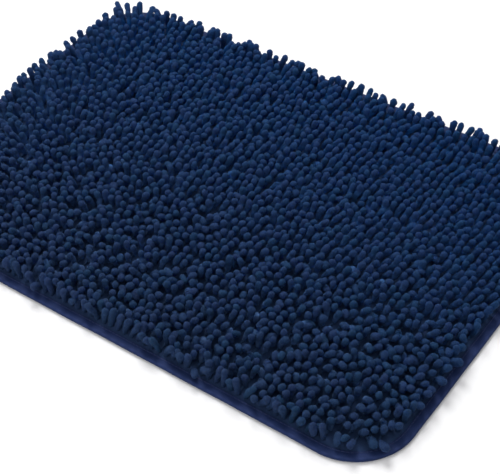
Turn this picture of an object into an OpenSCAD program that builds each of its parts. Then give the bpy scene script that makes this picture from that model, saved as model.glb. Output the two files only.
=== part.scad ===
// Tufted chenille bath mat: finger-shaped yarn tufts on a woven base cloth, locked by a
// latex coat, with a dotted anti-slip sheet underneath and a folded tape sewn round the edge.
// Origin: centre of the mat on the floor plane. +X along the length, +Y towards the back edge.

/* [Mat] */
// Length of the finished mat
mat_l = 610; // [500:2:700]
// Width of the finished mat
mat_w = 432; // [340:2:520]
// Radius of the mat's rounded corners
corner_r = 60; // [30:1:80]

/* [Pile] */
// Distance between neighbouring needle rows of chenille yarn
row_pitch = 7.94; // [7.94:0.01:9]
// Distance between stitches along one row
stitch_pitch = 10.6; // [9:0.1:13]
// Diameter of one chenille tuft
tuft_d = 7; // [5:0.1:7.5]
// Height of the tufts above the base cloth
pile_h = 19.2; // [12:0.1:26]
// Thickness of the yarn run that links the tufts of one row
yarn_run_t = 1.6; // [1:0.1:3]

/* [Base] */
// Thickness of the woven base cloth that carries the tufts
base_t = 0.8; // [0.5:0.1:1.5]
// Thickness of the latex coat that locks the back stitches
latex_t = 0.4; // [0.3:0.1:1]
// Thickness of the anti-slip sheet, without its dots
grip_t = 0.8; // [0.5:0.1:1.5]

/* [Grip dots] */
// Diameter of one moulded dot
dot_d = 5; // [3:0.1:8]
// Height of the dots below the anti-slip sheet
dot_h = 0.8; // [0.8:0.1:1.5]
// Distance between neighbouring dots
dot_pitch = 18; // [14:1:30]

/* [Edge binding] */
// Width of the binding seen from above
binding_w = 10; // [8:0.5:12]
// Thickness of the binding's upper leg, its raw edge turned under
upper_leg_t = 1.6; // [1.2:0.1:2]
// Thickness of the binding's lower leg
lower_leg_t = 0.5; // [0.4:0.1:0.6]
// Width of the binding's rolled outer edge beyond the cloths
fold_w = 2; // [1.5:0.1:2.5]

/* [Seam] */
// Thickness of the sewing thread
thread_d = 0.5; // [0.3:0.1:0.6]
// Distance of the seam from the binding's inner edge
seam_inset = 1.8; // [1.2:0.1:2.5]

/* [Hidden] */
// Facets of a full circle
$fn = 48;
// Room between the binding's inner edge and the nearest tuft
field_gap = 0.5;
// How far the flattened bobbin thread stands out of the lower leg
bobbin_t = 0.2;

// Heights of the layers above the floor
grip_z = dot_h;
latex_z = grip_z + grip_t;
base_z = latex_z + latex_t;
pile_z = base_z + base_t;
binding_z = grip_z - lower_leg_t;
binding_h = pile_z + upper_leg_t - binding_z;

// Length and corner radius of the field that the tufts fill
field_l = mat_l - 2 * (binding_w + field_gap);
field_r = corner_r - binding_w - field_gap;

// Number of needle rows, and of nodes that hold two rows each
rows = floor((field_l - tuft_d) / row_pitch) + 1;
rows_per_node = 2;
row_nodes = ceil(rows / rows_per_node);

// Half the straight stretches of the mat's long and short edges
straight_x = mat_l / 2 - corner_r;
straight_y = mat_w / 2 - corner_r;

// Name of one node of chenille rows
function row_name(k) = str("chenille_rows_", k < 10 ? "0" : "", k);

// Place of needle row i along the mat
function row_x(i) = (i - (rows - 1) / 2) * row_pitch;

// How far a point at x lies past the straight stretch that ends at limit
function past(x, limit) = max(0, abs(x) - limit);

// Half the length that a row at x may fill, measured on its outer side
function row_half(x) =
    straight_y + sqrt(max(0, field_r ^ 2 - past(abs(x) + tuft_d / 2, straight_x) ^ 2));

// Tufts on each side of the row's middle tuft
function side_tufts(x) = floor((row_half(x) - tuft_d / 2) / stitch_pitch);

// A rectangle with rounded corners, inset from the mat's outline
module outline(inset) {
    r = corner_r - inset;
    l = mat_l - 2 * inset;
    w = mat_w - 2 * inset;
    square([l - 2 * r, w], center = true);
    square([l, w - 2 * r], center = true);
    for (sx = [-1, 1], sy = [-1, 1])
        translate([sx * (l / 2 - r), sy * (w / 2 - r)])
            circle(r);
}

// One flat layer of the laminated base, ending inside the binding's fold
module layer(z, t) {
    translate([0, 0, z])
        linear_extrude(t)
            outline(fold_w);
}

// Side view of one tuft: a finger with a round tip
module tuft_profile() {
    translate([-tuft_d / 2, pile_z])
        square([tuft_d, pile_h - tuft_d / 2]);
    translate([0, pile_z + pile_h - tuft_d / 2])
        circle(d = tuft_d);
}

// One needle row: the tufts of one continuous yarn and the run that links them
module needle_row(x) {
    n = side_tufts(x);
    run_half = n * stitch_pitch + tuft_d / 2;
    translate([x - tuft_d / 2, 0, 0])
        rotate([90, 0, 90])
            linear_extrude(tuft_d) {
                translate([-run_half, pile_z])
                    square([2 * run_half, yarn_run_t]);
                for (j = [-n : n])
                    translate([j * stitch_pitch, 0])
                        tuft_profile();
            }
}

// Cross section of the binding, with its outer edge at zero and the mat to the left
module binding_profile() {
    roll_r = binding_h / 2;
    turn_r = upper_leg_t / 2;
    difference() {
        union() {
            translate([-roll_r, binding_z + roll_r])
                circle(roll_r);
            translate([-binding_w + turn_r, binding_z])
                square([binding_w - turn_r - roll_r, binding_h]);
            translate([-binding_w + turn_r, pile_z + turn_r])
                circle(turn_r);
        }
        translate([-binding_w, grip_z])
            square([binding_w - fold_w, pile_z - grip_z]);
    }
}

// A straight stretch of the binding, along +Y at the right of its own origin
module binding_straight(half_l) {
    rotate([90, 0, 0])
        linear_extrude(2 * half_l, center = true)
            binding_profile();
}

// One corner of the binding, turning about its own origin
module binding_corner() {
    rotate_extrude(angle = 90)
        translate([corner_r, 0])
            binding_profile();
}

// One line of sewing thread along the seam, flattened to thickness t, with its lower side at z
module seam_line(z, t) {
    translate([0, 0, z])
        linear_extrude(t)
            difference() {
                outline(binding_w - seam_inset - thread_d / 2);
                outline(binding_w - seam_inset + thread_d / 2);
            }
}

module base_cloth() {
    color("midnightblue")
        layer(base_z, base_t);
}

module latex_coat() {
    color("lightsteelblue")
        layer(latex_z, latex_t);
}

// The anti-slip sheet and its moulded dots, which stand in a square grid clear of the binding
module grip_sheet() {
    reach = binding_w + dot_d;
    nx = floor((mat_l / 2 - reach) / dot_pitch);
    ny = floor((mat_w / 2 - reach) / dot_pitch);
    color("slategray")
        union() {
            layer(grip_z, grip_t);
            for (i = [-nx : nx], j = [-ny : ny])
                if (norm([past(i * dot_pitch, straight_x), past(j * dot_pitch, straight_y)])
                    < corner_r - reach)
                    translate([i * dot_pitch, j * dot_pitch, 0])
                        cylinder(d = dot_d, h = dot_h + grip_t / 2);
        }
}

// The folded tape that wraps the edge of all the layers, one continuous ring
module edge_binding() {
    color("mediumblue")
        union() {
            for (side = [0, 180])
                rotate([0, 0, side]) {
                    translate([mat_l / 2, 0, 0])
                        binding_straight(straight_y);
                    translate([straight_x, straight_y, 0])
                        binding_corner();
                    rotate([0, 0, 90])
                        translate([mat_w / 2, 0, 0])
                            binding_straight(straight_x);
                    rotate([0, 0, 90])
                        translate([straight_y, straight_x, 0])
                            binding_corner();
                }
        }
}

module needle_thread() {
    color("navy")
        seam_line(pile_z + upper_leg_t, thread_d);
}

module bobbin_thread() {
    color("navy")
        seam_line(binding_z - bobbin_t, bobbin_t);
}

// Two neighbouring needle rows
module chenille_rows(k) {
    color("darkblue")
        for (i = [rows_per_node * (k - 1) : min(rows_per_node * k, rows) - 1])
            needle_row(row_x(i));
}

base_cloth();
latex_coat();
grip_sheet();
edge_binding();
needle_thread();
bobbin_thread();
for (k = [1 : row_nodes])
    chenille_rows(k);
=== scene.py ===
import math

import bpy
import numpy as np
from mathutils import Matrix, Vector


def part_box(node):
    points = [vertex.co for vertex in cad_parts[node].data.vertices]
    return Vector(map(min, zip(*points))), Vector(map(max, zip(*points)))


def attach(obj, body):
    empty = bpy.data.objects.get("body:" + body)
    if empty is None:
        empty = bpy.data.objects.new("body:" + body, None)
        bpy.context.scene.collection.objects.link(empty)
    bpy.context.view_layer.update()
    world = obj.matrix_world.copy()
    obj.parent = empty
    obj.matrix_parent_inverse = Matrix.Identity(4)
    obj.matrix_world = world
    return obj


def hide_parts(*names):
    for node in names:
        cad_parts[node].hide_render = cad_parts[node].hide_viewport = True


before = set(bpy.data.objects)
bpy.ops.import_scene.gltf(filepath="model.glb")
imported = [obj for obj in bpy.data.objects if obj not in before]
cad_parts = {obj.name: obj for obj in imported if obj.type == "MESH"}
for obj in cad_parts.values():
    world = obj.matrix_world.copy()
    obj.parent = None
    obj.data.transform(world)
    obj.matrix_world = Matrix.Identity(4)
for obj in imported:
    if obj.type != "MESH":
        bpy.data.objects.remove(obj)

# Everything below is worked out in millimetres, in the CAD frame: origin on the floor under the
# middle of the mat, +X along its length, +Y towards the back edge, +Z up out of the pile.
MM = 0.001
SEED = 164
rng = np.random.default_rng(SEED)

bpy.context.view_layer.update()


def box_mm(node):
    """A CAD node's lowest and highest corners, in millimetres."""
    low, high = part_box(node)
    return np.array(low) / MM, np.array(high) / MM


# ------------------------------------------------------------------ driving sizes
binding_low, binding_high = box_mm("edge_binding")
cloth_low, cloth_high = box_mm("base_cloth")
latex_low, _ = box_mm("latex_coat")
grip_low, _ = box_mm("grip_sheet")
_, seam_high = box_mm("needle_thread")
_, bobbin_high = box_mm("bobbin_thread")

HALF_L, HALF_W = binding_high[0], binding_high[1]
# Sizes from the CAD that a node's box doesn't show
CORNER_R = 60.0
BINDING_W = 10.0
FIELD_GAP = 0.5
TUFT_D = 7.0
STITCH_PITCH = 10.6
THREAD_D = 0.5
DOT_D = 5.0
DOT_PITCH = 18.0
CLOTH_TOP = cloth_high[2]
# Half the straight stretches of the long and the short edges
STRAIGHT_X = HALF_L - CORNER_R
STRAIGHT_Y = HALF_W - CORNER_R


# ------------------------------------------------------------------ small helpers
def ease(t, start, end):
    """A smooth step: 0 up to start, 1 from end on."""
    s = np.clip((t - start) / (end - start), 0.0, 1.0)
    return s * s * (3 - 2 * s)


def unit(v):
    """Vectors scaled to length 1."""
    return v / np.maximum(np.linalg.norm(v, axis=-1, keepdims=True), 1e-9)


def build_piece(name, verts, faces, material, attributes=None):
    """A smooth-shaded mesh object from points in millimetres and arrays of faces."""
    mesh = bpy.data.meshes.new(name)
    mesh.vertices.add(len(verts))
    mesh.vertices.foreach_set("co", (verts * MM).astype(np.float32).ravel())
    loops = np.concatenate([f.ravel() for f in faces]).astype(np.int32)
    sizes = np.concatenate([np.full(len(f), f.shape[1]) for f in faces])
    starts = np.concatenate([[0], np.cumsum(sizes)[:-1]]).astype(np.int32)
    mesh.loops.add(len(loops))
    mesh.loops.foreach_set("vertex_index", loops)
    mesh.polygons.add(len(sizes))
    mesh.polygons.foreach_set("loop_start", starts)
    mesh.polygons.foreach_set("use_smooth", np.ones(len(sizes), bool))
    mesh.update(calc_edges=True)
    mesh.validate()
    for key, values in (attributes or {}).items():
        layer = mesh.attributes.new(key, "FLOAT", "POINT")
        layer.data.foreach_set("value", np.asarray(values, np.float32).ravel())
    mesh.materials.append(material)
    piece = bpy.data.objects.new(name, mesh)
    bpy.context.scene.collection.objects.link(piece)
    return piece


def tube_faces(rings, sides):
    """Faces of one closed tube: its rings in order, then its start point and its end point."""
    r, s = np.meshgrid(np.arange(rings - 1), np.arange(sides), indexing="ij")
    n = (s + 1) % sides
    quads = np.stack([r * sides + s, r * sides + n, (r + 1) * sides + n, (r + 1) * sides + s], -1)
    quads = quads.reshape(-1, 4)
    k = np.arange(sides)
    m = (k + 1) % sides
    start, end = rings * sides, rings * sides + 1
    last = (rings - 1) * sides
    ends = np.concatenate(
        [np.stack([m, k, np.full(sides, start)], -1),
         np.stack([last + k, last + m, np.full(sides, end)], -1)])
    return quads, ends


def repeat_faces(faces, copies, stride):
    """The same faces for a row of copies, each of them stride points further on."""
    shift = (np.arange(copies) * stride)[:, None, None]
    return (faces[None] + shift).reshape(-1, faces.shape[1])


# ------------------------------------------------------------------ materials
# The sockets of a Mix node that mixes colours
MIX_FACTOR, MIX_A, MIX_B, MIX_RESULT = 0, 6, 7, 2


class Shader:
    """One Principled material, and short ways to add and link its nodes."""

    def __init__(self, name, roughness, specular=0.2, sheen=0.0, sheen_roughness=0.5,
                 sheen_tint=(1, 1, 1)):
        self.material = bpy.data.materials.new(name)
        self.material.use_nodes = True
        self.tree = self.material.node_tree
        self.bsdf = next(n for n in self.tree.nodes if n.type == "BSDF_PRINCIPLED")
        self.bsdf.inputs["Roughness"].default_value = roughness
        self.bsdf.inputs["Specular IOR Level"].default_value = specular
        self.bsdf.inputs["Sheen Weight"].default_value = sheen
        self.bsdf.inputs["Sheen Roughness"].default_value = sheen_roughness
        self.bsdf.inputs["Sheen Tint"].default_value = (*sheen_tint, 1)

    def node(self, kind, values=(), **settings):
        """A new node, with each input either set to a value or linked to a socket."""
        made = self.tree.nodes.new(kind)
        for key, value in settings.items():
            setattr(made, key, value)
        for key, value in dict(values).items():
            if isinstance(value, bpy.types.NodeSocket):
                self.tree.links.new(value, made.inputs[key])
            else:
                made.inputs[key].default_value = value
        return made

    def place(self):
        """The point on the piece, in metres."""
        return self.node("ShaderNodeTexCoord").outputs["Object"]

    def attribute(self, name):
        return self.node("ShaderNodeAttribute", attribute_name=name).outputs["Fac"]

    def noise(self, size_mm, detail=2.0, rough=0.5):
        return self.node(
            "ShaderNodeTexNoise",
            {"Vector": self.place(), "Scale": 1.0 / (size_mm * MM),
             "Detail": detail, "Roughness": rough},
        ).outputs["Fac"]

    def math(self, operation, a, b=0.0, c=0.0):
        return self.node("ShaderNodeMath", {0: a, 1: b, 2: c}, operation=operation).outputs[0]

    def mix(self, factor, a, b):
        """Colour a at factor 0, colour b at factor 1."""
        made = self.node("ShaderNodeMix", data_type="RGBA")
        for slot, value in ((MIX_FACTOR, factor), (MIX_A, a), (MIX_B, b)):
            if isinstance(value, bpy.types.NodeSocket):
                self.tree.links.new(value, made.inputs[slot])
            else:
                made.inputs[slot].default_value = value if slot == MIX_FACTOR else (*value, 1)
        return made.outputs[MIX_RESULT]

    def remap(self, value, low, high, to_low=0.0, to_high=1.0):
        return self.node(
            "ShaderNodeMapRange",
            {"Value": value, "From Min": low, "From Max": high,
             "To Min": to_low, "To Max": to_high},
        ).outputs["Result"]

    def weave(self, across, along, pitch_mm):
        """Height of a plain weave, 0 to 1, from two coordinates in metres."""
        turn = math.pi / (pitch_mm * MM)
        a = self.math("SINE", self.math("MULTIPLY", across, turn))
        b = self.math("SINE", self.math("MULTIPLY", along, turn))
        return self.math("MULTIPLY_ADD", self.math("MULTIPLY", a, b), 0.5, 0.5)

    def colour(self, socket):
        self.tree.links.new(socket, self.bsdf.inputs["Base Color"])

    def scatter(self, weight, radii_mm):
        """Light that passes through the fibre and softens the shading, its reach in RGB."""
        self.bsdf.subsurface_method = "BURLEY"
        self.bsdf.inputs["Subsurface Weight"].default_value = weight
        self.bsdf.inputs["Subsurface Radius"].default_value = radii_mm
        self.bsdf.inputs["Subsurface Scale"].default_value = MM

    def roughness(self, socket):
        self.tree.links.new(socket, self.bsdf.inputs["Roughness"])

    def bump(self, height, distance_mm, strength=1.0, over=None):
        """Relief from a height, laid over another bump's normal if one is given."""
        values = {"Height": height, "Distance": distance_mm * MM, "Strength": strength}
        if over is not None:
            values["Normal"] = over
        normal = self.node("ShaderNodeBump", values).outputs["Normal"]
        self.tree.links.new(normal, self.bsdf.inputs["Normal"])
        return normal


# Navy of the pile in linear RGB, each at the mat's front edge and at its back edge: where the
# mottling is deep, where it is light, and the painted fill light low down between the fingers
PILE_DEEP = (0.0090, 0.0214, 0.0580), (0.0031, 0.0250, 0.0985)
PILE_LIGHT = (0.0148, 0.0298, 0.0800), (0.0114, 0.0382, 0.1170)
# The last pair is painted fill light: a lighter blue painted low between the fingers, where the
# pile lies in shade
PILE_PAINTED_GAP_LIGHT = (0.0620, 0.1130, 0.240), (0.0085, 0.0880, 0.290)
# The two hues that single fingers turn to, and how far they do
PILE_VIOLET, PILE_TEAL = (0.0135, 0.0225, 0.076), (0.0042, 0.0325, 0.072)
HUE_SHARE = 0.35
# Painted light fall-off: how much lighter the left end of the mat is painted, and how much deeper
# the right end
PAINTED_END_LIGHT = 0.36
# How far light travels in the pile, in red, green and blue
PILE_SCATTER_MM = (3.5, 4.5, 6.0)
# Fine slanted wraps of the yarn: radians of wave per millimetre along a finger
PILE_RIB = 5.2


def chenille_material():
    """Velvety microfibre: each finger has its own depth and hue of navy, with fibre mottling, a
    painted light fall-off from the left end to the right and painted fill light low between the
    fingers.
    """
    m = Shader("chenille_microfibre", 0.82, specular=0.07, sheen=0.1, sheen_roughness=0.45,
               sheen_tint=(0.2, 0.45, 1.0))
    m.scatter(1.0, PILE_SCATTER_MM)
    mottle = m.noise(1.9, detail=3.0, rough=0.6)
    fibre = m.noise(0.55, detail=2.0, rough=0.7)
    patch = m.noise(60.0, detail=1.0)
    depth = m.math("MULTIPLY_ADD", mottle, 3.0, m.math("MULTIPLY", m.attribute("shade"), 0.5))
    depth = m.math("MULTIPLY_ADD", fibre, 1.6, depth)
    depth = m.math("MULTIPLY_ADD", patch, 0.4, depth)
    level = m.remap(depth, 1.95, 3.55)
    x, y, _ = m.node("ShaderNodeSeparateXYZ", {0: m.place()}).outputs
    back = m.remap(y, -HALF_W * MM, HALF_W * MM)
    # Painted light fall-off: the navy is painted lighter at the left end and deeper at the right
    ends = m.remap(x, -HALF_L * MM, HALF_L * MM, PAINTED_END_LIGHT, -PAINTED_END_LIGHT)
    level = m.math("ADD", level, ends)
    navy = m.mix(level, m.mix(back, *PILE_DEEP), m.mix(back, *PILE_LIGHT))
    hue = m.attribute("hue")
    navy = m.mix(m.remap(hue, 0.55, 1.0, 0.0, HUE_SHARE), navy, PILE_VIOLET)
    navy = m.mix(m.remap(hue, 0.45, 0.0, 0.0, HUE_SHARE), navy, PILE_TEAL)
    # Painted fill light: the lighter blue painted low between the fingers, where the pile lies in
    # shade
    m.colour(m.mix(m.attribute("inner"), navy, m.mix(back, *PILE_PAINTED_GAP_LIGHT)))
    rib = m.math("SINE", m.math("MULTIPLY_ADD", m.attribute("along"), PILE_RIB,
                                m.attribute("turn")))
    soft = m.bump(rib, distance_mm=0.16, strength=0.5)
    m.bump(m.math("MULTIPLY_ADD", fibre, 0.5, mottle), distance_mm=1.8, over=soft)
    return m.material


def binding_material():
    """Folded woven tape: a fine plain weave, a touch more violet than the pile."""
    deep, light, rubbed = (0.0075, 0.0160, 0.058), (0.0140, 0.0280, 0.098), (0.028, 0.044, 0.135)
    m = Shader("binding_woven_tape", 0.7, specular=0.1, sheen=0.12, sheen_roughness=0.35,
               sheen_tint=(0.4, 0.5, 1.0))
    weave = m.weave(m.attribute("across"), m.attribute("run"), pitch_mm=0.55)
    slub = m.noise(9.0, detail=2.0)
    fuzz = m.noise(0.6, detail=2.0, rough=0.65)
    level = m.math("MULTIPLY_ADD", weave, 0.3, m.math("MULTIPLY", slub, 0.5))
    level = m.remap(m.math("MULTIPLY_ADD", fuzz, 0.3, level), 0.3, 0.85)
    wear = m.math("MULTIPLY", m.remap(m.attribute("wear"), 0.35, 1.0), 0.5)
    m.colour(m.mix(wear, m.mix(level, deep, light), rubbed))
    m.roughness(m.remap(weave, 0.0, 1.0, 0.78, 0.62))
    base = m.bump(weave, distance_mm=0.12, strength=0.6)
    m.bump(fuzz, distance_mm=0.1, strength=0.5, over=base)
    return m.material


def thread_material():
    """Twisted polyester thread: slanted plies along each stitch."""
    deep, light = (0.010, 0.018, 0.062), (0.022, 0.038, 0.125)
    slant_per_mm = 9.0
    m = Shader("sewing_thread_polyester", 0.55, sheen=0.15)
    slant = m.math("MULTIPLY_ADD", m.attribute("along"), slant_per_mm, m.attribute("turn"))
    ply = m.math("MULTIPLY_ADD", m.math("SINE", slant), 0.5, 0.5)
    m.colour(m.mix(ply, deep, light))
    m.roughness(m.remap(ply, 0.0, 1.0, 0.65, 0.5))
    m.bump(ply, distance_mm=0.08, strength=0.8)
    return m.material


def cloth_material():
    """Plain-woven ground cloth in dark navy."""
    deep, light = (0.007, 0.020, 0.058), (0.014, 0.038, 0.108)
    m = Shader("ground_cloth_weave", 0.9, sheen=0.2, sheen_tint=(0.4, 0.5, 1.0))
    x, y, _ = m.node("ShaderNodeSeparateXYZ", {0: m.place()}).outputs
    weave = m.weave(x, y, pitch_mm=0.7)
    slub = m.noise(3.0, detail=3.0)
    level = m.math("MULTIPLY_ADD", weave, 0.6, m.math("MULTIPLY", slub, 0.5))
    m.colour(m.mix(m.remap(level, 0.2, 0.9), deep, light))
    m.roughness(m.remap(weave, 0.0, 1.0, 0.95, 0.85))
    m.bump(weave, distance_mm=0.18, strength=0.7)
    return m.material


def latex_material():
    """Cream latex coat, brushed on: cloudy, faintly pitted."""
    dull, cream = (0.45, 0.43, 0.37), (0.58, 0.56, 0.50)
    m = Shader("latex_brushed_coat", 0.6)
    cloud = m.noise(14.0, detail=4.0, rough=0.6)
    pits = m.noise(1.2, detail=2.0)
    m.colour(m.mix(m.remap(cloud, 0.35, 0.65), dull, cream))
    m.roughness(m.remap(pits, 0.3, 0.7, 0.5, 0.72))
    m.bump(pits, distance_mm=0.12, strength=0.6)
    return m.material


def rubber_material():
    """Moulded anti-slip rubber: matte, with a fine leathery mould texture and scuffed dots."""
    deep, light, scuffed = (0.024, 0.030, 0.052), (0.037, 0.044, 0.070), (0.115, 0.125, 0.150)
    grain_mm = 1.1
    m = Shader("grip_moulded_rubber", 0.72)
    cell = m.node("ShaderNodeTexVoronoi", {"Vector": m.place(), "Scale": 1.0 / (grain_mm * MM)},
                  feature="SMOOTH_F1").outputs["Distance"]
    cloud = m.noise(20.0, detail=3.0)
    scuff = m.attribute("scuff")
    skin = m.mix(m.remap(cloud, 0.3, 0.7), deep, light)
    m.colour(m.mix(m.math("MULTIPLY", scuff, 0.8), skin, scuffed))
    m.roughness(m.remap(m.math("MULTIPLY_ADD", scuff, 0.4, cloud), 0.2, 1.2, 0.62, 0.88))
    m.bump(cell, distance_mm=0.1, strength=0.5)
    return m.material


def floor_material():
    """Plain pale studio paper with a faint grain."""
    m = Shader("studio_floor_paper", 0.9)
    m.colour(m.mix(m.noise(4.0, detail=2.0), (0.73, 0.73, 0.74), (0.76, 0.76, 0.77)))
    return m.material


# ------------------------------------------------------------------ the pile
# Every finger is a chain of points from its root to the start of its round tip
CHAIN_NODES = 6
TUFT_LENGTH = 17.2
TIP_LENGTH = 3.8
TUFT_RADIUS = 3.25
# How near two fingers may come at each chain node, and how much their fluffy tips add to it
CONTACT_RADIUS = 3.1
TIP_FLUFF = np.array([0.0, 0.0, 0.05, 0.2, 0.65, 1.2])


def side_tufts(x):
    """Fingers on each side of a row's middle finger, as in the CAD."""
    past = max(0.0, abs(x) + TUFT_D / 2 - STRAIGHT_X)
    field_r = CORNER_R - BINDING_W - FIELD_GAP
    half = STRAIGHT_Y + math.sqrt(max(0.0, field_r ** 2 - past ** 2))
    rounding = 0.001
    return int((half - TUFT_D / 2 + rounding) // STITCH_PITCH)


row_nodes = sorted(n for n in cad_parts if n.startswith("chenille_rows_"))
rows = []
for piece_index, node in enumerate(row_nodes):
    low, high = box_mm(node)
    for x in sorted({round(low[0] + TUFT_D / 2, 2), round(high[0] - TUFT_D / 2, 2)}):
        rows.append((piece_index, x, side_tufts(x)))

tuft_piece = np.concatenate([np.full(2 * n + 1, p) for p, x, n in rows])
tuft_x = np.concatenate([np.full(2 * n + 1, x) for p, x, n in rows])
tuft_y = np.concatenate([np.arange(-n, n + 1) * STITCH_PITCH for p, x, n in rows])
# Whether a finger is the last at either end of its row
tuft_last = np.concatenate([np.abs(np.arange(-n, n + 1)) == n for p, x, n in rows])
TUFTS = len(tuft_x)


def rim_distance(x, y):
    """Distance outside the field's edge, negative inside it."""
    qx = np.abs(x) - STRAIGHT_X
    qy = np.abs(y) - STRAIGHT_Y
    outside = np.hypot(np.maximum(qx, 0), np.maximum(qy, 0))
    return outside + np.minimum(np.maximum(qx, qy), 0) - (CORNER_R - BINDING_W)


# 0 for the fingers along the rim, 1 for those well inside the field
tuft_inside = ease(-rim_distance(tuft_x, tuft_y), 6.0, 16.0)


def waves(x, y, count, short, long):
    """A smooth seeded field of about unit size, with features between two lengths."""
    total = np.zeros_like(x)
    for _ in range(count):
        heading, phase = rng.uniform(0, 2 * math.pi, 2)
        k = 2 * math.pi / rng.uniform(short, long)
        total += np.cos(k * (x * math.cos(heading) + y * math.sin(heading)) + phase)
    return total * math.sqrt(2.0 / count)


# Places where the pile parts: x, y, heading in degrees, half length, push to each side
PARTINGS = [
    (-182, 60, 80, 14, 4.5),
    (-170, 16, 92, 34, 5.0),
    (-47, 60, 70, 15, 4.5),
]
LOOSE_PARTINGS = 34
# Half the crest of a parting, the reach of its push to each side, and the fade past its ends
PARTING_CREST, PARTING_REACH, PARTING_FADE = 2.5, 11.0, 6.0


def parted(x, y):
    """How far the partings push each finger's tip aside."""
    dx, dy = np.zeros_like(x), np.zeros_like(y)
    loose = [
        (rng.uniform(-0.92, 0.92) * HALF_L, rng.uniform(-0.9, 0.25) * HALF_W,
         rng.uniform(0, 180), rng.uniform(7, 15), rng.uniform(2.5, 4.5))
        for _ in range(LOOSE_PARTINGS)
    ]
    for cx, cy, heading, half, push in PARTINGS + loose:
        c, s = math.cos(math.radians(heading)), math.sin(math.radians(heading))
        along = (x - cx) * c + (y - cy) * s
        off = -(x - cx) * s + (y - cy) * c
        amount = push * np.tanh(off / PARTING_CREST) * np.exp(-(off / PARTING_REACH) ** 2)
        amount *= np.exp(-(np.maximum(np.abs(along) - half, 0) / PARTING_FADE) ** 2)
        dx -= amount * s
        dy += amount * c
    return dx, dy


# How the finger tips lean off their roots, as millimetres along X and Y. The pile is combed to
# +X, and in the zones below it leans less, more or another way.
COMB_X, COMB_Y = 8.4, 1.0
LEFT_PULL, FRONT_LEFT_PULL, FRONT_RIGHT_PUSH = 4.5, 1.5, 1.5
FRONT_PULL_X, FRONT_PULL_Y, BACK_PULL_Y = 1.8, 7.0, 1.4
LEFT_RIM_LEAN, LAST_ROW_LIFT = 6.5, 2.3
BACK_RIM_LEAN, LAST_TUFT_LIFT = 4.5, 3.0
BACK_CORNER_X, BACK_CORNER_Y = 4.0, 7.0
NEAR_CORNER_X, NEAR_CORNER_Y = 2.0, 3.0
# The share of the combed lean that the straight pile along each rim takes back
FRONT_RIM_HOLD_X, FRONT_RIM_HOLD_Y, BACK_RIM_HOLD, RIGHT_RIM_HOLD = 0.5, 0.9, 0.75, 0.5
# At the corners the rows end short of the binding: the gap that is normal, how much more of it
# counts at most, and how far the last finger leans out for each millimetre of that
ROW_END_GAP, ROW_END_MOST, ROW_END_LEAN = 4.6, 9, 0.8
# Neighbouring fingers lean together in clumps of this size
CLUMP_WAVES, CLUMP_SHORT, CLUMP_LONG = 30, 22, 60
# How far clumps lean and single fingers scatter: in the open pile, then what ruffling and the
# rims add
CLUMP_OPEN, CLUMP_RUFFLED, CLUMP_RIM = 0.5, 0.7, 0.6
SPREAD_X, SPREAD_X_RUFFLED, SPREAD_X_RIM = 2.1, 0.2, 0.8
SPREAD_Y, SPREAD_Y_RIM, SPREAD_Y_LEFT = 2.4, 0.9, 1.2
# Few fingers lie right across the others
STRAY_SHARE, STRAY_LEAN = 0.035, 7.0


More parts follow.
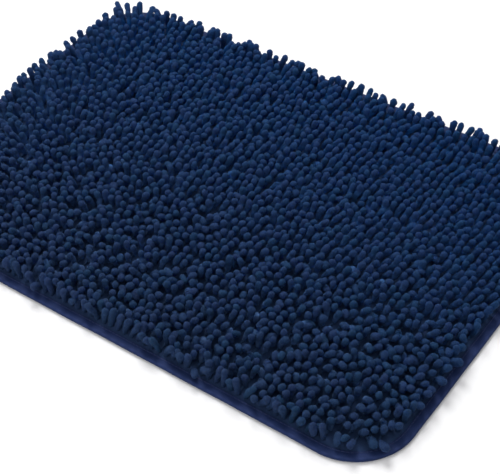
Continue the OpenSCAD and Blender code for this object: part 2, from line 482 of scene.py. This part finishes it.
def brushed(x, y):
    """How far each finger's tip stands off its root: combed to +X, ruffled towards the front."""
    u, v = x / HALF_L, y / HALF_W
    front = ease(-v, -0.15, 0.45)
    left = ease(-u, 0.45, 1.0) * (1 - ease(v, 0.05, 0.4))
    front_left = front * ease(-u, 0.0, 0.45)
    front_right = ease(-v, 0.2, 0.5) * ease(u, 0.35, 0.75) * (1 - ease(-v, 0.55, 0.8))
    front_rim = ease(-v, 0.80, 0.94)
    back_rim = ease(v, 0.84, 0.94)
    left_rim = ease(-u, 0.66, 0.95)
    last_row = ease(-u, 0.93, 0.95)
    last_tuft = ease(v, 0.90, 0.93)
    right_rim = ease(u, 0.92, 0.98)
    back_corner = ease(-u, 0.76, 0.92) * ease(v, 0.70, 0.88)
    near_corner = ease(u, 0.80, 0.93) * ease(-v, 0.72, 0.90)
    dx = COMB_X - LEFT_PULL * left - FRONT_LEFT_PULL * front_left
    dx = dx + FRONT_RIGHT_PUSH * front_right - FRONT_PULL_X * front
    dy = COMB_Y - front * FRONT_PULL_Y - BACK_PULL_Y * (1 - front) * (1 - back_rim)
    dx = dx * (1 - FRONT_RIM_HOLD_X * front_rim) * (1 - BACK_RIM_HOLD * back_rim)
    dx = dx * (1 - left_rim) * (1 - RIGHT_RIM_HOLD * right_rim)
    dx = dx - LEFT_RIM_LEAN * left_rim + LAST_ROW_LIFT * last_row
    dx = dx - BACK_CORNER_X * back_corner + NEAR_CORNER_X * near_corner
    dy = dy * (1 - FRONT_RIM_HOLD_Y * front_rim)
    dy = dy + BACK_RIM_LEAN * back_rim - LAST_TUFT_LIFT * last_tuft
    dy = dy + BACK_CORNER_Y * back_corner - NEAR_CORNER_Y * near_corner
    bare = tuft_last * np.clip(-rim_distance(x, y) - ROW_END_GAP, 0, ROW_END_MOST)
    out_x = np.sign(x) * np.maximum(np.abs(x) - STRAIGHT_X, 0)
    out_y = np.sign(y) * np.maximum(np.abs(y) - STRAIGHT_Y, 0)
    reach = np.maximum(np.hypot(out_x, out_y), 1.0)
    dx += ROW_END_LEAN * bare * out_x / reach
    dy += ROW_END_LEAN * bare * out_y / reach
    ruffle = np.clip(front + 0.5 * left, 0, 1)
    rim = np.maximum.reduce([back_rim, left_rim, front_rim, right_rim])
    clump_x = waves(x, y, CLUMP_WAVES, CLUMP_SHORT, CLUMP_LONG)
    clump_y = waves(x, y, CLUMP_WAVES, CLUMP_SHORT, CLUMP_LONG)
    clump = CLUMP_OPEN + CLUMP_RUFFLED * ruffle + CLUMP_RIM * rim
    part_x, part_y = parted(x, y)
    dx += part_x + clump * clump_x
    dy += part_y + clump * clump_y
    dx += (SPREAD_X + SPREAD_X_RUFFLED * ruffle + SPREAD_X_RIM * rim) * rng.normal(0, 1, TUFTS)
    dy += (SPREAD_Y + SPREAD_Y_RIM * rim + SPREAD_Y_LEFT * left_rim) * rng.normal(0, 1, TUFTS)
    stray = rng.random(TUFTS) < STRAY_SHARE * (0.3 + front)
    heading = rng.uniform(0, 2 * math.pi, TUFTS)
    dx += stray * STRAY_LEAN * np.cos(heading)
    dy += stray * STRAY_LEAN * np.sin(heading)
    return np.stack([dx, dy], -1)


# The furthest that a finger may reach sideways, as a share of its length
MOST_LEAN = 0.86


def standing_chains(lean, length):
    """Centrelines that bow over from the root, with their tips at about the wanted lean."""
    reach = np.linalg.norm(lean, axis=1)
    heading = lean / np.maximum(reach, 1e-6)[:, None]
    tilt = np.arcsin(np.clip(reach / length, 0, MOST_LEAN))
    step = length / (CHAIN_NODES - 1)
    chain = np.zeros((TUFTS, CHAIN_NODES, 3))
    chain[:, 0] = np.stack([tuft_x, tuft_y, np.full(TUFTS, CLOTH_TOP)], -1)
    for k in range(CHAIN_NODES - 1):
        angle = tilt * (0.6 + 0.8 * k / (CHAIN_NODES - 2))
        side, up = np.sin(angle) * step, np.cos(angle) * step
        chain[:, k + 1] = chain[:, k] + np.concatenate([heading * side[:, None], up[:, None]], 1)
    return chain


# Fingers rooted further apart than this along X or Y never touch
NEIGHBOUR_REACH = 24.0
# Nodes further apart than this along their fingers never touch
LEVEL_REACH = 2


def contact_pairs():
    """Every pair of chain nodes, on different fingers and at like heights, that may touch."""
    first, second = [], []
    for i in range(TUFTS):
        near = np.nonzero((np.abs(tuft_x[i + 1:] - tuft_x[i]) < NEIGHBOUR_REACH)
                          & (np.abs(tuft_y[i + 1:] - tuft_y[i]) < NEIGHBOUR_REACH))[0] + i + 1
        first.append(np.full(len(near), i))
        second.append(near)
    first, second = np.concatenate(first), np.concatenate(second)
    a, b = [], []
    for k in range(1, CHAIN_NODES):
        for m in range(max(1, k - LEVEL_REACH), min(CHAIN_NODES, k + LEVEL_REACH + 1)):
            a.append(first * CHAIN_NODES + k)
            b.append(second * CHAIN_NODES + m)
    return np.concatenate(a), np.concatenate(b)


RELAX_STEPS = 90
# In each step: the share of an overlap that each of two fingers gives way, and the share of
# its way back to its own lean that a finger springs
GIVE_WAY, SPRING_BACK = 0.32, 0.05
# The height at which a finger lies on the cloth or the binding, as a share of its radius
LYING_HEIGHT = 0.8


def relax(chain, length):
    """Fingers push each other apart, spring back to their own lean and keep their length."""
    aim = chain.copy()
    step = (length / (CHAIN_NODES - 1))[:, None]
    a, b = contact_pairs()
    reach = (CONTACT_RADIUS + tuft_inside[:, None] * TIP_FLUFF).ravel()
    gap = reach[a] + reach[b]
    count = TUFTS * CHAIN_NODES
    for _ in range(RELAX_STEPS):
        flat = chain.reshape(-1, 3)
        apart = flat[a] - flat[b]
        squared = np.einsum("ij,ij->i", apart, apart)
        hit = squared < gap * gap
        far = np.sqrt(np.maximum(squared[hit], 1e-6))
        push = apart[hit] * (GIVE_WAY * (gap[hit] - far) / far)[:, None]
        for axis in range(3):
            flat[:, axis] += np.bincount(a[hit], push[:, axis], count)
            flat[:, axis] -= np.bincount(b[hit], push[:, axis], count)
        chain = flat.reshape(TUFTS, CHAIN_NODES, 3)
        chain[:, 1:] += SPRING_BACK * (aim[:, 1:] - chain[:, 1:])
        over_rim = rim_distance(chain[:, 1:, 0], chain[:, 1:, 1]) > -TUFT_RADIUS
        ground = np.where(over_rim, binding_high[2], CLOTH_TOP) + LYING_HEIGHT * TUFT_RADIUS
        chain[:, 1:, 2] = np.maximum(chain[:, 1:, 2], ground)
        chain[:, 0] = aim[:, 0]
        for k in range(CHAIN_NODES - 1):
            chain[:, k + 1] = chain[:, k] + unit(chain[:, k + 1] - chain[:, k]) * step
    return chain


# Rings of points along the body and round tip of a finger, and points in a ring
BODY_RINGS = 10
CAP_RINGS = 4
SIDES = 12
RINGS = BODY_RINGS + CAP_RINGS
# Width of a finger at its root as a share of its radius, and where it reaches its full width
ROOT_WIDTH, FULL_WIDTH_AT = 0.68, 0.95
# How much plumper the fingers on the rim are, how much the radius varies, and how far a
# finger's cross section is from round
RIM_PLUMPNESS, RADIUS_SPREAD, FLATNESS = 0.04, 0.045, (0.02, 0.11)
LUMP_HEIGHT = 0.09
# The last ring of the tip stops this many rings short of its end point
CAP_OPENING = 0.4


def along_chain(chain, t):
    """Points and directions on a smooth line through the chain's nodes, t from 0 to 1."""
    at = t * (CHAIN_NODES - 1)
    k = min(int(at), CHAIN_NODES - 2)
    f = at - k
    p1, p2 = chain[:, k], chain[:, k + 1]
    p0 = chain[:, k - 1] if k > 0 else 2 * p1 - p2
    p3 = chain[:, k + 2] if k + 2 < CHAIN_NODES else 2 * p2 - p1
    point = 0.5 * (2 * p1 + (p2 - p0) * f + (2 * p0 - 5 * p1 + 4 * p2 - p3) * f ** 2
                   + (3 * p1 - p0 - 3 * p2 + p3) * f ** 3)
    slope = 0.5 * ((p2 - p0) + 2 * (2 * p0 - 5 * p1 + 4 * p2 - p3) * f
                   + 3 * (3 * p1 - p0 - 3 * p2 + p3) * f ** 2)
    return point, unit(slope)


def finger_points(chain):
    """Rings of points of every finger: narrow at the root, plump above, with a round tip."""
    radius = TUFT_RADIUS * (1 + RIM_PLUMPNESS * (1 - tuft_inside)
                            + rng.normal(0, RADIUS_SPREAD, TUFTS))
    spin = rng.uniform(0, 2 * math.pi, TUFTS)
    flat = 1 + rng.uniform(*FLATNESS, TUFTS)
    lumps = rng.normal(0, 1, (TUFTS, RINGS, SIDES))
    lumps = (2 * lumps + np.roll(lumps, 1, 2) + np.roll(lumps, -1, 2)) / math.sqrt(6)
    turn = np.arange(SIDES) * 2 * math.pi / SIDES
    tip, tip_along = along_chain(chain, 1.0)
    rings, heights = [], []
    for ring in range(RINGS):
        if ring < BODY_RINGS:
            t = ring / (BODY_RINGS - 1)
            point, along = along_chain(chain, t)
            width = ROOT_WIDTH + (1 - ROOT_WIDTH) * float(ease(t, 0.0, FULL_WIDTH_AT))
            height = t * TUFT_LENGTH
        else:
            angle = (ring - BODY_RINGS + 1) * math.pi / 2 / (CAP_RINGS + CAP_OPENING)
            rise = TIP_LENGTH * math.sin(angle)
            point, along = tip + tip_along * (radius * rise / TUFT_RADIUS)[:, None], tip_along
            width = math.cos(angle)
            height = TUFT_LENGTH + rise
        side = np.stack([np.cos(spin), np.sin(spin), np.zeros(TUFTS)], -1)
        side = unit(side - along * np.sum(side * along, 1, keepdims=True))
        other = np.cross(along, side)
        r = radius[:, None] * width * (1 + LUMP_HEIGHT * lumps[:, ring])
        ca, sa = np.cos(turn) * flat[:, None], np.sin(turn) / flat[:, None]
        rings.append(point[:, None] + (r * ca)[..., None] * side[:, None]
                     + (r * sa)[..., None] * other[:, None])
        heights.append(height)
    root, _ = along_chain(chain, 0.0)
    end = tip + tip_along * (radius * TIP_LENGTH / TUFT_RADIUS)[:, None]
    body = np.stack(rings, 1).reshape(TUFTS, -1, 3)
    points = np.concatenate([body, root[:, None], end[:, None]], 1)
    along_mm = np.concatenate([np.repeat(heights, SIDES), [0.0, TUFT_LENGTH + TIP_LENGTH]])
    turns = np.concatenate([np.tile(turn, RINGS), [0.0, 0.0]])
    return points, along_mm, turns


# The yarn run: its radius, the points in a ring, and the rings from one finger to the next
RUN_RADIUS = 1.0
RUN_SIDES = 6
RUN_STEPS = 4
# Height of its centre above the cloth between fingers, and its rise at a finger
RUN_SEAT, RUN_RISE = 0.8, 0.5


def run_points(x, n):
    """The yarn run that links one row's fingers, rising a little at each of them."""
    count = 2 * n * RUN_STEPS + 1
    y = np.linspace(-n, n, count) * STITCH_PITCH
    lift = RUN_RISE * (1 + np.cos(2 * math.pi * y / STITCH_PITCH)) / 2
    turn = np.arange(RUN_SIDES) * 2 * math.pi / RUN_SIDES
    ring = np.stack([np.cos(turn), np.zeros(RUN_SIDES), np.sin(turn)], -1) * RUN_RADIUS
    centre = np.stack([np.full(count, x), y, CLOTH_TOP + RUN_RADIUS * RUN_SEAT + lift], -1)
    rings = (centre[:, None] + ring[None]).reshape(-1, 3)
    return np.concatenate([rings, centre[:1], centre[-1:]]), count


# The grid that the heights of the tips are gathered on: its cell, its margin round the mat, and
# the rounds of blur
LEVEL_CELL, LEVEL_MARGIN, LEVEL_BLURS = 4.0, 24.0, 2


def tip_level(points):
    """Height of the finger tips round about each point, from a blurred grid of all the tips."""
    cell, margin = LEVEL_CELL, LEVEL_MARGIN
    size = (int(2 * (HALF_L + margin) / cell), int(2 * (HALF_W + margin) / cell))
    tips = points[:, -1]
    heights, weights = np.zeros(size), np.zeros(size)

    def cells(p):
        return tuple(((p[..., k] + half + margin) / cell).astype(int)
                     for k, half in enumerate((HALF_L, HALF_W)))

    np.add.at(heights, cells(tips), tips[:, 2])
    np.add.at(weights, cells(tips), 1.0)
    for _ in range(LEVEL_BLURS):
        for axis in (0, 1):
            heights = sum(np.roll(heights, k, axis) for k in (-1, 0, 1)) / 3
            weights = sum(np.roll(weights, k, axis) for k in (-1, 0, 1)) / 3
    return (heights / np.maximum(weights, 1e-6))[cells(points)]


# How much longer the fingers of the back left corner are, and how much all of them vary
BACK_LEFT_LENGTH, LENGTH_SPREAD = 0.24, 0.06
# What the colour attributes say along the yarn runs, the share of painted fill light on them too
RUN_ATTRIBUTE = 0.3


def build_pile(material):
    """All the fingers and yarn runs, as one piece for each CAD node of rows."""
    back_left = ease(-tuft_x / HALF_L, 0.78, 0.92) * ease(tuft_y / HALF_W, 0.70, 0.86)
    length = TUFT_LENGTH * (1 + BACK_LEFT_LENGTH * back_left
                            + rng.normal(0, LENGTH_SPREAD, TUFTS))
    chain = standing_chains(brushed(tuft_x, tuft_y), length)
    chain = relax(chain, length)
    points, along, turns = finger_points(chain)
    shade, hue = rng.random(TUFTS), rng.random(TUFTS)
    # Share of painted fill light at each point: a lighter colour painted deep between the fingers,
    # where shade falls, fading out near the rim and kept off the tips
    buried = ease(-rim_distance(points[..., 0], points[..., 1]), 2.0, 26.0)
    inner = buried * ease(tip_level(points) - points[..., 2], 2.5, 9.5)
    inner *= 1 - ease(along, 0.65 * TUFT_LENGTH, 0.95 * TUFT_LENGTH)
    quads, ends = tube_faces(RINGS, SIDES)
    stride = points.shape[1]
    for index, node in enumerate(row_nodes):
        mine = np.nonzero(tuft_piece == index)[0]
        verts = [points[mine].reshape(-1, 3)]
        faces = [repeat_faces(quads, len(mine), stride), repeat_faces(ends, len(mine), stride)]
        data = {
            "shade": [np.repeat(shade[mine], stride)],
            "hue": [np.repeat(hue[mine], stride)],
            "along": [np.tile(along, len(mine))],
            "turn": [np.tile(turns, len(mine))],
            # the share of painted fill light at each point
            "inner": [inner[mine].ravel()],
        }
        offset = len(mine) * stride
        for p, x, n in rows:
            if p != index:
                continue
            run, count = run_points(x, n)
            run_quads, run_ends = tube_faces(count, RUN_SIDES)
            verts.append(run)
            faces += [run_quads[:, ::-1] + offset, run_ends[:, ::-1] + offset]
            for key in data:
                data[key].append(np.full(len(run), RUN_ATTRIBUTE))
            offset += len(run)
        data = {key: np.concatenate(parts) for key, parts in data.items()}
        piece = build_piece(f"pile_{node[-2:]}", np.concatenate(verts), faces, material, data)
        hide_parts(node)
        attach(piece, "root")


# ------------------------------------------------------------------ the edge
# The fewest steps that a corner and a straight stretch are cut into
CORNER_STEPS, STRETCH_STEPS = 8, 2


def rim_path(inset, spacing):
    """Points, outward directions and distances along a rounded rectangle, and its length.

    It runs counterclockwise, inset from the mat's outline.
    """
    r = CORNER_R - inset
    sides = [(STRAIGHT_X, STRAIGHT_Y, 0.0), (-STRAIGHT_X, STRAIGHT_Y, 90.0),
             (-STRAIGHT_X, -STRAIGHT_Y, 180.0), (STRAIGHT_X, -STRAIGHT_Y, 270.0)]
    points, normals = [], []
    for i, (cx, cy, start) in enumerate(sides):
        steps = max(CORNER_STEPS, int(round(r * math.pi / 2 / spacing)))
        for k in range(steps):
            a = math.radians(start + 90.0 * k / steps)
            normals.append((math.cos(a), math.sin(a)))
            points.append((cx + r * math.cos(a), cy + r * math.sin(a)))
        a = math.radians(start + 90.0)
        nx, ny, _ = sides[(i + 1) % 4]
        stretch = math.hypot(nx - cx, ny - cy)
        steps = max(STRETCH_STEPS, int(round(stretch / spacing)))
        for k in range(steps):
            f = k / steps
            normals.append((math.cos(a), math.sin(a)))
            points.append((cx + (nx - cx) * f + r * math.cos(a),
                           cy + (ny - cy) * f + r * math.sin(a)))
    points, normals = np.array(points), np.array(normals)
    gaps = np.linalg.norm(np.roll(points, -1, 0) - points, axis=1)
    return points, normals, np.concatenate([[0], np.cumsum(gaps)[:-1]]), gaps.sum()


TAPE_T = 0.45
# Inset of the seam from the outer edge
SEAM_IN = HALF_L - seam_high[0] + THREAD_D / 2
STITCH_LENGTH = 4.0


def binding_outline():
    """The tape's outer side as points (inset from the outer edge, height), bottom to top."""
    low, high = binding_low[2], binding_high[2]
    roll = (high - low) / 2
    centre = low + roll
    bottom = [(BINDING_W, low + 0.06), (8.0, low), (5.0, low)]
    rolled_edge = [(roll - roll * math.sin(a), centre - roll * math.cos(a))
                   for a in np.radians(np.arange(0, 181, 18))]
    # The top sinks towards the seam, rises past it and turns under at the inner edge
    top = [(4.2, high - 0.12), (5.8, high - 0.42), (7.2, high - 0.80), (SEAM_IN, high - 1.05),
           (9.0, high - 0.82), (9.6, high - 0.85), (BINDING_W, high - 1.25)]
    return np.array(bottom + rolled_edge + top)


# Spacing of the tape's cross sections along the rim
TAPE_SPACING = 2.0
# The tape's slow waver: waves round the whole rim, and its reach sideways and up
SWAY_WAVES, SWAY_SIDEWAYS, SWAY_UP = (7, 13, 29), 0.10, 0.05
# Puckers between the stitches: their height, and their reach to each side of the seam
PUCKER, PUCKER_REACH = 0.13, 2.2
# The pucker is on the upper leg only, above this height
UPPER_LEG = 2.5
# How far the waver and the puckers may lift the tape above the CAD's
TAPE_RISE = 0.3
# Where the tape is worn: the middle of the band, from the outer edge, and its reach
WEAR_AT, WEAR_REACH = 1.2, 1.6


def build_binding(material):
    """The folded tape: one closed skin, swept round the rim."""
    outer = binding_outline()
    slope = np.gradient(outer, axis=0)
    inward = unit(np.stack([-slope[:, 1], slope[:, 0]], -1))
    inner = outer - inward * TAPE_T
    inner[:, 1] = np.clip(inner[:, 1], grip_low[2], None)
    profile = np.concatenate([outer, inner[::-1]])
    points, normals, distance, total = rim_path(0.0, TAPE_SPACING)
    count, sides = len(points), len(profile)
    phase = 2 * math.pi * distance / (total / round(total / STITCH_LENGTH))
    sway = sum(np.sin(2 * math.pi * n * distance / total + rng.uniform(0, 6.28))
               for n in SWAY_WAVES)
    raised = np.clip((profile[:, 1] - binding_low[2]) / (binding_high[2] - binding_low[2]), 0, 1)
    near_seam = np.exp(-((profile[:, 0] - SEAM_IN) / PUCKER_REACH) ** 2)
    near_seam *= profile[:, 1] > UPPER_LEG
    lift = PUCKER * np.cos(phase)[:, None] * near_seam[None]
    lift = lift + SWAY_UP * sway[:, None] * raised[None]
    loose = (1 - profile[None, :, 0] / BINDING_W) ** 2
    inset = np.maximum(profile[None, :, 0] + SWAY_SIDEWAYS * sway[:, None] * loose, 0.0)
    xy = points[:, None] - normals[:, None] * inset[..., None]
    z = np.minimum(profile[None, :, 1] + lift, binding_high[2] + TAPE_RISE)
    verts = np.concatenate([xy, z[..., None]], -1).reshape(-1, 3)
    i, j = np.meshgrid(np.arange(count), np.arange(sides), indexing="ij")
    ni, nj = (i + 1) % count, (j + 1) % sides
    quads = np.stack([i * sides + j, i * sides + nj, ni * sides + nj, ni * sides + j], -1)
    developed = np.concatenate([[0], np.cumsum(np.linalg.norm(np.diff(outer, axis=0), axis=1))])
    across = np.concatenate([developed, developed[::-1]])
    rim = np.exp(-((profile[:, 0] - WEAR_AT) / WEAR_REACH) ** 2) * raised
    worn = np.clip(rim[None] * (0.7 + 0.3 * np.sin(phase * 0.37)[:, None]), 0, 1)
    data = {
        "run": np.repeat(distance * MM, sides),
        "across": np.tile(across * MM, count),
        "wear": worn.ravel(),
    }
    piece = build_piece("binding_tape", verts, [quads.reshape(-1, 4)], material, data)
    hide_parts("edge_binding")
    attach(piece, "root")


# Spacing of the points of the seam's path, and the rings and sides of one strand
SEAM_SPACING = 1.0
STRAND_RINGS, STRAND_SIDES = 7, 8
# Half a strand's length as a share of the stitch pitch, and where its width would end
STRAND_HALF, STRAND_TAPER = 0.44, 0.47
# How deep a strand's ends dip, as a share of the thread's thickness
STRAND_DIP = 0.55


def build_stitches(name, node, z, flatten, material):
    """A ring of lockstitches along the seam: short bowed strands that dip into the tape."""
    points, normals, distance, total = rim_path(SEAM_IN, SEAM_SPACING)
    stitches = int(round(total / STITCH_LENGTH))
    pitch = total / stitches
    rings, sides = STRAND_RINGS, STRAND_SIDES
    turn = np.arange(sides) * 2 * math.pi / sides
    closed = np.concatenate([distance, [total]])
    shut = np.concatenate([points, points[:1]])
    facing = np.concatenate([normals, normals[:1]])
    f = np.linspace(-STRAND_HALF, STRAND_HALF, rings)
    dip = 1 - (np.abs(f) / STRAND_HALF) ** 3
    width = THREAD_D / 2 * np.sqrt(np.clip(1 - (np.abs(f) / STRAND_TAPER) ** 4, 0.05, 1))
    verts = []
    for s in range(stitches):
        at = ((s + 0.5 + f) * pitch) % total
        px, py = np.interp(at, closed, shut[:, 0]), np.interp(at, closed, shut[:, 1])
        nx, ny = np.interp(at, closed, facing[:, 0]), np.interp(at, closed, facing[:, 1])
        centre = np.stack([px, py, z + (dip - STRAND_DIP) * THREAD_D * flatten], -1)
        out = np.stack([nx, ny, np.zeros(rings)], -1)
        up = np.array([0.0, 0.0, flatten])
        ring = (centre[:, None] + (width[:, None] * np.cos(turn))[..., None] * out[:, None]
                + (width[:, None] * np.sin(turn))[..., None] * up)
        verts.append(np.concatenate([ring.reshape(-1, 3), centre[:1], centre[-1:]]))
    along = np.concatenate([np.repeat(f, sides), f[:1], f[-1:]]) * pitch
    turns = np.concatenate([np.tile(turn, rings), [0, 0]])
    quads, ends = tube_faces(rings, sides)
    stride = rings * sides + 2
    faces = [repeat_faces(quads, stitches, stride), repeat_faces(ends, stitches, stride)]
    data = {"along": np.tile(along, stitches), "turn": np.tile(turns, stitches)}
    piece = build_piece(name, np.concatenate(verts), faces, material, data)
    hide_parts(node)
    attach(piece, "root")


# ------------------------------------------------------------------ the flat layers
# The grid of a layer: its cell, and the cells across a corner
GRID_MM = 6.0
CORNER_CELLS = 8
# The ripple of the cloth and the latex: its height, and its waves' number and lengths
RIPPLE = 0.05
RIPPLE_WAVES, RIPPLE_SHORT, RIPPLE_LONG = 12, 30, 90


def layer_mesh(half_l, half_w, low, high, ripple):
    """A closed slab on a grid, its corners rounded, with a slight ripple on both sides."""
    r = CORNER_R - (HALF_L - half_l)

    def lines(half):
        """Grid lines from edge to edge, with extra ones across the corners."""
        inner = half - r
        cells = int(round(2 * inner / GRID_MM))
        rim = np.linspace(inner, half, CORNER_CELLS + 1)[1:]
        return np.concatenate([-rim[::-1], np.linspace(-inner, inner, cells + 1), rim])

    x, y = np.meshgrid(lines(half_l), lines(half_w), indexing="ij")
    a = np.maximum(np.abs(x) - (half_l - r), 0) / r
    b = np.maximum(np.abs(y) - (half_w - r), 0) / r
    x = np.sign(x) * (np.minimum(np.abs(x), half_l - r) + r * a * np.sqrt(1 - b * b / 2))
    y = np.sign(y) * (np.minimum(np.abs(y), half_w - r) + r * b * np.sqrt(1 - a * a / 2))
    wave = ripple * waves(x, y, RIPPLE_WAVES, RIPPLE_SHORT, RIPPLE_LONG)
    wave = wave * (1 - ease(rim_distance(x, y), -12.0, 0.0))
    lengthwise, columns = x.shape
    top = np.stack([x, y, high + wave], -1).reshape(-1, 3)
    under = np.stack([x, y, low + wave], -1).reshape(-1, 3)
    i, j = np.meshgrid(np.arange(lengthwise - 1), np.arange(columns - 1), indexing="ij")
    c = (i * columns + j).ravel()
    quads = np.stack([c, c + columns, c + columns + 1, c + 1], -1)
    shift = lengthwise * columns
    edge = np.concatenate([
        np.arange(lengthwise - 1) * columns,
        (lengthwise - 1) * columns + np.arange(columns - 1),
        np.arange(lengthwise - 1, 0, -1) * columns + columns - 1,
        np.arange(columns - 1, 0, -1)])
    after = np.roll(edge, -1)
    walls = np.stack([edge, edge + shift, after + shift, after], -1)
    return np.concatenate([top, under]), np.concatenate([quads, quads[:, ::-1] + shift, walls])


def build_layer(name, node, material, ripple, sheet_low=None):
    """One flat layer. A sheet_low above the node's lowest point leaves room for moulded dots."""
    low, high = box_mm(node)
    half_l, half_w = high[0], high[1]
    bottom = low[2] if sheet_low is None else sheet_low
    verts, quads = layer_mesh(half_l, half_w, bottom, high[2], ripple)
    faces, data = [quads], {"scuff": np.zeros(len(verts))}
    if sheet_low is not None:
        dots, dot_faces, scuff = grip_dots(sheet_low)
        faces += [f + len(verts) for f in dot_faces]
        data["scuff"] = np.concatenate([data["scuff"], scuff])
        verts = np.concatenate([verts, dots])
    piece = build_piece(name, verts, faces, material, data)
    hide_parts(node)
    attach(piece, "root")


DOT_SIDES = 14


def grip_dots(sheet_low):
    """Moulded dots in a square grid: short round pegs with a soft shoulder and a flat foot."""
    reach = BINDING_W + DOT_D
    nx, ny = int((HALF_L - reach) // DOT_PITCH), int((HALF_W - reach) // DOT_PITCH)
    places = [
        (i * DOT_PITCH, j * DOT_PITCH)
        for i in range(-nx, nx + 1) for j in range(-ny, ny + 1)
        if math.hypot(max(0, abs(i * DOT_PITCH) - STRAIGHT_X),
                      max(0, abs(j * DOT_PITCH) - STRAIGHT_Y)) < CORNER_R - reach
    ]
    r, sides = DOT_D / 2, DOT_SIDES
    # Radius and height from the sheet down to the foot, and how scuffed the rubber is there
    profile = [(r * 1.08, sheet_low + 0.25), (r, sheet_low - 0.1), (r * 0.97, sheet_low - 0.45),
               (r * 0.84, 0.10), (r * 0.62, 0.0)]
    wear = [0, 0, 0.1, 0.7, 1.0]
    turn = -np.arange(sides) * 2 * math.pi / sides
    one = np.concatenate([
        np.stack([p * np.cos(turn), p * np.sin(turn), np.full(sides, z)], -1) for p, z in profile
    ] + [np.array([[0, 0, profile[0][1]], [0, 0, 0]])])
    quads, ends = tube_faces(len(profile), sides)
    centres = np.array([(x, y, 0) for x, y in places])
    verts = (centres[:, None] + one[None]).reshape(-1, 3)
    scuff = np.concatenate([np.repeat(wear, sides), [wear[0], wear[-1]]])
    faces = [repeat_faces(quads, len(places), len(one)), repeat_faces(ends, len(places), len(one))]
    return verts, faces, np.tile(scuff, len(places))


build_pile(chenille_material())
build_layer("ground_cloth", "base_cloth", cloth_material(), RIPPLE)
build_layer("latex_backing", "latex_coat", latex_material(), RIPPLE)
# The grip sheet itself is as thick as the cloth, and its dots fill the rest of its height
build_layer("grip_layer", "grip_sheet", rubber_material(), 0.0,
            sheet_low=latex_low[2] - (cloth_high[2] - cloth_low[2]))
build_binding(binding_material())
# How far the seams lie below the tape's highest point and the bobbin thread's, and the height of
# the bobbin stitches as a share of round ones
NEEDLE_SEAT, BOBBIN_SEAT, BOBBIN_FLATNESS = 1.0, 0.02, 0.35
stitching = thread_material()
build_stitches("needle_stitches", "needle_thread", binding_high[2] - NEEDLE_SEAT, 1.0, stitching)
build_stitches("bobbin_stitches", "bobbin_thread", bobbin_high[2] - BOBBIN_SEAT, BOBBIN_FLATNESS,
               stitching)

# ------------------------------------------------------------------ floor, light and camera
FLOOR_HALF = 4.0
floor_mesh = bpy.data.meshes.new("studio_floor")
floor_mesh.from_pydata(
    [(-FLOOR_HALF, -FLOOR_HALF, 0), (FLOOR_HALF, -FLOOR_HALF, 0),
     (FLOOR_HALF, FLOOR_HALF, 0), (-FLOOR_HALF, FLOOR_HALF, 0)], [], [(0, 1, 2, 3)])
floor_mesh.materials.append(floor_material())
floor = bpy.data.objects.new("studio_floor", floor_mesh)
bpy.context.scene.collection.objects.link(floor)

# A white studio, brighter overhead than round the walls
WALL_LIGHT = 0.28
CEILING_LIGHT = 0.98
world = bpy.data.worlds.new("studio_white")
world.use_nodes = True
studio = world.node_tree
sky_place = studio.nodes.new("ShaderNodeTexCoord")
sky_split = studio.nodes.new("ShaderNodeSeparateXYZ")
sky_level = studio.nodes.new("ShaderNodeMapRange")
sky_level.inputs["To Min"].default_value = WALL_LIGHT
sky_level.inputs["To Max"].default_value = CEILING_LIGHT
studio.links.new(sky_place.outputs["Generated"], sky_split.inputs[0])
studio.links.new(sky_split.outputs["Z"], sky_level.inputs["Value"])
studio.links.new(sky_level.outputs["Result"], studio.nodes["Background"].inputs["Strength"])
studio.nodes["Background"].inputs["Color"].default_value = (1.0, 1.0, 1.0, 1)
bpy.context.scene.world = world


def soft_box(name, azimuth, elevation, distance, size, power):
    """A square area light aimed at the middle of the mat. Azimuth 0 is on +X, 90 on +Y.

    Distance and size are in metres, power in watts.
    """
    a, e = math.radians(azimuth), math.radians(elevation)
    towards = Vector((math.cos(a) * math.cos(e), math.sin(a) * math.cos(e), math.sin(e)))
    data = bpy.data.lights.new(name, "AREA")
    data.shape = "SQUARE"
    data.size = size
    data.energy = power
    light = bpy.data.objects.new(name, data)
    light.location = towards * distance
    light.rotation_mode = "QUATERNION"
    light.rotation_quaternion = towards.to_track_quat("Z", "Y")
    bpy.context.scene.collection.objects.link(light)


soft_box("key_softbox", azimuth=136.0, elevation=53.0, distance=3.0, size=1.4, power=86.0)
soft_box("front_softbox", azimuth=-98.0, elevation=20.0, distance=2.6, size=1.6, power=22.0)

# The photograph's viewing angle, in degrees, metres and millimetres of lens
CAMERA_AZIMUTH = 36.80
CAMERA_ELEVATION = 43.83
CAMERA_ROLL = -2.34
CAMERA_TARGET = Vector((0.0487, -0.0335, 0.0))
CAMERA_DISTANCE = 1.307
CAMERA_LENS = 96.4
CAMERA_SENSOR = 36.0

a, e, roll = (math.radians(v) for v in (CAMERA_AZIMUTH, CAMERA_ELEVATION, CAMERA_ROLL))
forward = Vector((-math.sin(a) * math.cos(e), math.cos(a) * math.cos(e), -math.sin(e)))
level_right = forward.cross(Vector((0, 0, 1))).normalized()
level_up = level_right.cross(forward)
right = level_right * math.cos(roll) + level_up * math.sin(roll)
up = level_up * math.cos(roll) - level_right * math.sin(roll)
camera_data = bpy.data.cameras.new("photo_camera")
camera_data.sensor_width = CAMERA_SENSOR
camera_data.lens = CAMERA_LENS
camera_data.clip_start, camera_data.clip_end = 0.05, 50.0
camera = bpy.data.objects.new("photo_camera", camera_data)
turned = Matrix((right, up, -forward)).transposed().to_4x4()
camera.matrix_world = Matrix.Translation(CAMERA_TARGET - forward * CAMERA_DISTANCE) @ turned
bpy.context.scene.collection.objects.link(camera)
bpy.context.scene.camera = camera
bpy.context.scene.view_settings.view_transform = "Standard"
